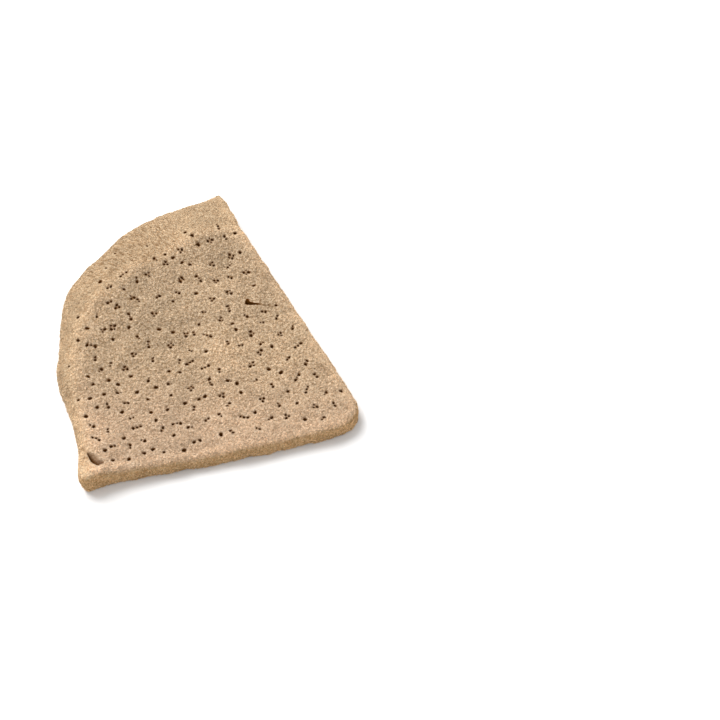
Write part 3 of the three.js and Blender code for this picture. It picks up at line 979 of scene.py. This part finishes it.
def strand_turns(tree, skin_turn):
    """Each strand lies on the skin, along the comb where there is order, and else any way."""
    inputs = {"Rotation": skin_turn, "Vector": reading(tree, "comb", "FLOAT_VECTOR")}
    combed = add_node(tree, "FunctionNodeAlignRotationToVector", inputs, axis="X", pivot_axis="Z")[0]
    freedom = maths(tree, "SUBTRACT", 1, reading(tree, "order"))
    any_way = times(tree, chance(tree, -math.pi, math.pi, 4), freedom)
    angles = vector_of(tree, chance(tree, -ROLL, ROLL, 2), chance(tree, -PITCH, PITCH, 3), any_way)
    turn = add_node(tree, "FunctionNodeEulerToRotation", {"Euler": angles})[0]
    inputs = {"Rotation": combed, "Rotate By": turn}
    return add_node(tree, "FunctionNodeRotateRotation", inputs, rotation_space="LOCAL")[0]


def strand_sizes(tree):
    """Each strand's size along, across and out of the skin, smaller near the lips of the openings."""
    shorter = maths(tree, "SUBTRACT", 1, times(tree, reading(tree, "lip"), SHORTER_AT_LIPS))
    along = times(tree, chance(tree, *LENGTH_VARIES, 5), shorter)
    out = times(tree, chance(tree, *HEIGHT_VARIES, 7), shorter)
    return vector_of(tree, along, chance(tree, *WIDTH_VARIES, 6), out)


def kept_off_the_floor(tree, meshes):
    parts = add_node(tree, "ShaderNodeSeparateXYZ", {0: position(tree)})
    above = vector_of(tree, parts["X"], parts["Y"], maths(tree, "MAXIMUM", parts["Z"], 0.0))
    return add_node(tree, "GeometryNodeSetPosition", {"Geometry": meshes, "Position": above})[0]


def felt_tree():
    """The Geometry Nodes tree that grows strands on one patch of the skin."""
    tree = bpy.data.node_groups.new("felt", "GeometryNodeTree")
    sockets = {
        "Skin": "Geometry",
        "Patch": "Int",
        "Density": "Float",
        "Length": "Float",
        "Thickness": "Float",
        "Tuft Size": "Float",
        "Seed": "Int",
        "Finish": "Material",
    }
    for name, kind in sockets.items():
        tree.interface.new_socket(name, in_out="INPUT", socket_type="NodeSocket" + kind)
    tree.interface.new_socket("Felt", in_out="OUTPUT", socket_type="NodeSocketGeometry")
    given = add_node(tree, "NodeGroupInput")

    spread = spread_roots(tree, given)
    strands = add_node(tree, "GeometryNodeInstanceOnPoints", {
        "Points": thinned(tree, spread["Points"], given["Tuft Size"]),
        "Instance": one_strand(tree, given["Length"], given["Thickness"]),
        "Rotation": strand_turns(tree, spread["Rotation"]),
        "Scale": strand_sizes(tree),
    })[0]
    inputs = {"Geometry": strands, "Name": "tone", "Value": chance(tree, 0.0, 1.0, 8)}
    toned = add_node(tree, "GeometryNodeStoreNamedAttribute", inputs, domain="INSTANCE")[0]
    meshes = add_node(tree, "GeometryNodeRealizeInstances", {"Geometry": toned})[0]
    lying = kept_off_the_floor(tree, meshes)
    smooth = add_node(tree, "GeometryNodeSetShadeSmooth", {"Geometry": lying})[0]
    inputs = {"Geometry": smooth, "Material": given["Finish"]}
    finished = add_node(tree, "GeometryNodeSetMaterial", inputs)[0]
    add_node(tree, "NodeGroupOutput", {"Felt": finished})
    return tree


def felt_area(mesh, patch):
    """How much of a patch carries felt, in square metres."""
    area = values_of(mesh.polygons, "area")
    patches = values_of(mesh.attributes["patch"].data, "value", int)
    felt = values_of(mesh.attributes["felt"].data, "value")
    return float((area * mean_on_faces(mesh, felt))[patches == patch].sum())


def make_felt(skin, tree, patch, name, strands, finish):
    """The strands of one patch as a plain mesh."""
    values = {
        "Patch": patch,
        "Density": strands / KEPT_SHARE / felt_area(skin.data, patch),
        "Length": STRAND_LENGTH * METRES,
        "Thickness": STRAND_THICKNESS * METRES,
        "Tuft Size": TUFT_SIZE * METRES,
        "Seed": FELT_SEED + patch,
        "Finish": finish,
    }
    modifier = skin.modifiers.new("felt", "NODES")
    modifier.node_group = tree
    for socket in tree.interface.items_tree:
        if socket.in_out == "INPUT" and socket.name in values:
            modifier[socket.identifier] = values[socket.name]
    bpy.context.view_layer.update()
    mesh = bpy.data.meshes.new_from_object(skin.evaluated_get(bpy.context.evaluated_depsgraph_get()))
    skin.modifiers.remove(modifier)
    mesh.name = name
    return add_object(name, mesh)


# Finishes

def mix(tree, factor, first, second):
    """One colour turning into another."""
    return add_node(tree, "ShaderNodeMix", {"Factor": factor, 6: first, 7: second}, data_type="RGBA")[2]


def by_attribute(tree, name):
    return add_node(tree, "ShaderNodeAttribute", attribute_name=name)["Fac"]


def cloudiness(tree, place, scale, detail):
    """Smooth random values about half, finer with a larger scale."""
    return add_node(tree, "ShaderNodeTexNoise", {"Vector": place, "Scale": scale, "Detail": detail})["Fac"]


def at_zones(tree, colours):
    """The first colour, turning into each of the others where its zone is."""
    colour, *others = ((*colour, 1) for colour in colours)
    for zone, other in zip(("front", "band", "cut"), others):
        colour = mix(tree, by_attribute(tree, zone), colour, other)
    return colour


def lightness_of_tufts(tree, place):
    """0 in the gaps between tufts and about 1 on them, broken up by grains, more even where soft."""
    away = from_tuft_middle(tree, place, TUFT_SIZE * METRES)
    tuft = ramp(tree, away, *TUFT_FADES, TUFT_LIGHT, 0.0)
    grains = ramp(tree, cloudiness(tree, place, GRAIN_SCALE, 2.0), *GRAIN_EDGE, 0.0, GRAIN_LIGHT)
    evened = times(tree, by_attribute(tree, "soft"), EVENED)
    inputs = {"Factor": evened, "A": maths(tree, "ADD", tuft, grains), "B": EVEN_TONE}
    return add_node(tree, "ShaderNodeMix", inputs)["Result"]


def streaks_and_crease_shade(tree):
    """The strokes combed across the rim's band, and the painted shade of the creases, from 0 to 1."""
    along = times(tree, by_attribute(tree, "along_rim"), 1 / STREAK_SPACING)
    across = times(tree, by_attribute(tree, "from_rim"), 1 / STREAK_LENGTH)
    streaks = cloudiness(tree, vector_of(tree, along, across, 0), 1.0, 2.0)
    strength = ramp(tree, by_attribute(tree, "combed"), 0.0, 1.0, *STREAK_STRENGTH)
    strokes = times(tree, strength, ramp(tree, streaks, *STREAK_EDGE, 1.0, 0.0))
    creases = times(tree, by_attribute(tree, "crease"), CREASE_PAINTED_SHADE)
    return maths(tree, "MAXIMUM", times(tree, strokes, by_attribute(tree, "band")), creases)


def sponge_colour(tree, own_brightness):
    """Light tufts with brown gaps, browner on the cut sides, with painted shade in the pores, gashes and
    creases, and painted light and shade from the light attribute.
    """
    place = add_node(tree, "ShaderNodeTexCoord")["Object"]
    tufts = lightness_of_tufts(tree, place)
    colour = mix(tree, tufts, at_zones(tree, GAP_COLOURS), at_zones(tree, TUFT_COLOURS))
    colour = mix(tree, streaks_and_crease_shade(tree), colour, (*STREAK_AND_CREASE_SHADE_COLOUR, 1))
    clouds = ramp(tree, cloudiness(tree, place, CLOUD_SCALE, 3.0), *CLOUD_EDGE, *CLOUD_BRIGHTNESS)
    # brightness: random clouds, the painted light and shade of the light attribute, and the piece's own
    # brightness
    brightness = times(tree, times(tree, clouds, by_attribute(tree, "light")), own_brightness)
    # painted shade down the pores and gashes, darkest where the value passes 1
    pore = by_attribute(tree, "pore")
    colour = mix(tree, pore, scaled(tree, colour, brightness), (*PORE_PAINTED_SHADE_COLOUR, 1))
    return mix(tree, maths(tree, "SUBTRACT", pore, 1), colour, (*DEEPEST_PAINTED_SHADE_COLOUR, 1))


def matte(name):
    """A material with no shine, and its shader."""
    made = bpy.data.materials.new(name)
    made.use_nodes = True
    shader = made.node_tree.nodes["Principled BSDF"]
    shader.inputs["Roughness"].default_value = ROUGHNESS
    shader.inputs["Specular IOR Level"].default_value = 0.0
    return made, shader


def skeleton_finish():
    """The skin under the felt, a little darker than the strands and with a fine grain."""
    made, shader = matte("sponge skeleton")
    tree = made.node_tree
    tree.links.new(sponge_colour(tree, SKIN_BRIGHTNESS), shader.inputs["Base Color"])
    place = add_node(tree, "ShaderNodeTexCoord")["Object"]
    bumps = {"Height": cloudiness(tree, place, BUMP_SCALE, 4.0), "Distance": BUMP_HEIGHT * METRES}
    tree.links.new(add_node(tree, "ShaderNodeBump", bumps)[0], shader.inputs["Normal"])
    return made


def fibre_finish():
    """The strands, each with a brightness of its own."""
    made, shader = matte("sponge fibre")
    tree = made.node_tree
    own = ramp(tree, by_attribute(tree, "tone"), 0.0, 1.0, *STRAND_BRIGHTNESS)
    tree.links.new(sponge_colour(tree, own), shader.inputs["Base Color"])
    return made


skin_piece = make_skin()
skin_piece.data.materials.append(skeleton_finish())
strand_finish = fibre_finish()
felt = felt_tree()
pieces = [skin_piece]
for patch, (name, strands) in enumerate(PATCHES.items()):
    pieces.append(make_felt(skin_piece, felt, patch, name, strands, strand_finish))
for piece in pieces:
    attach(piece, "root")
    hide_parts("sponge")


# Stage

def add_world():
    """Even white light from all round."""
    world = bpy.data.worlds.new("studio")
    world.use_nodes = True
    background = world.node_tree.nodes["Background"]
    background.inputs["Color"].default_value = (1, 1, 1, 1)
    background.inputs["Strength"].default_value = WORLD_STRENGTH
    bpy.context.scene.world = world


def add_floor():
    bpy.ops.mesh.primitive_plane_add(size=FLOOR_SIZE, location=(0, 0, -FLOOR_GAP))
    floor = bpy.context.object
    floor.name = "floor"
    white, shader = matte("floor")
    shader.inputs["Base Color"].default_value = (FLOOR_SHADE, FLOOR_SHADE, FLOOR_SHADE, 1)
    floor.data.materials.append(white)


def add_key():
    """A large soft lamp behind and to the left."""
    light = bpy.data.lights.new("key", "AREA")
    light.size = KEY_SIZE
    light.energy = KEY_POWER
    lamp = add_object("key", light)
    lamp.location = KEY_PLACE
    lamp.rotation_euler = Vector(KEY_PLACE).to_track_quat("Z", "Y").to_euler()


def add_camera():
    """The photograph's point of view."""
    view = bpy.data.cameras.new("camera")
    view.lens = LENS
    camera = add_object("camera", view)
    camera.location = EYE * METRES
    camera.rotation_euler = (math.pi / 2 - SLOPE_OF_SIGHT, 0, 0)
    bpy.context.scene.camera = camera


add_world()
add_floor()
add_key()
add_camera()
bpy.context.scene.view_settings.view_transform = "Standard"
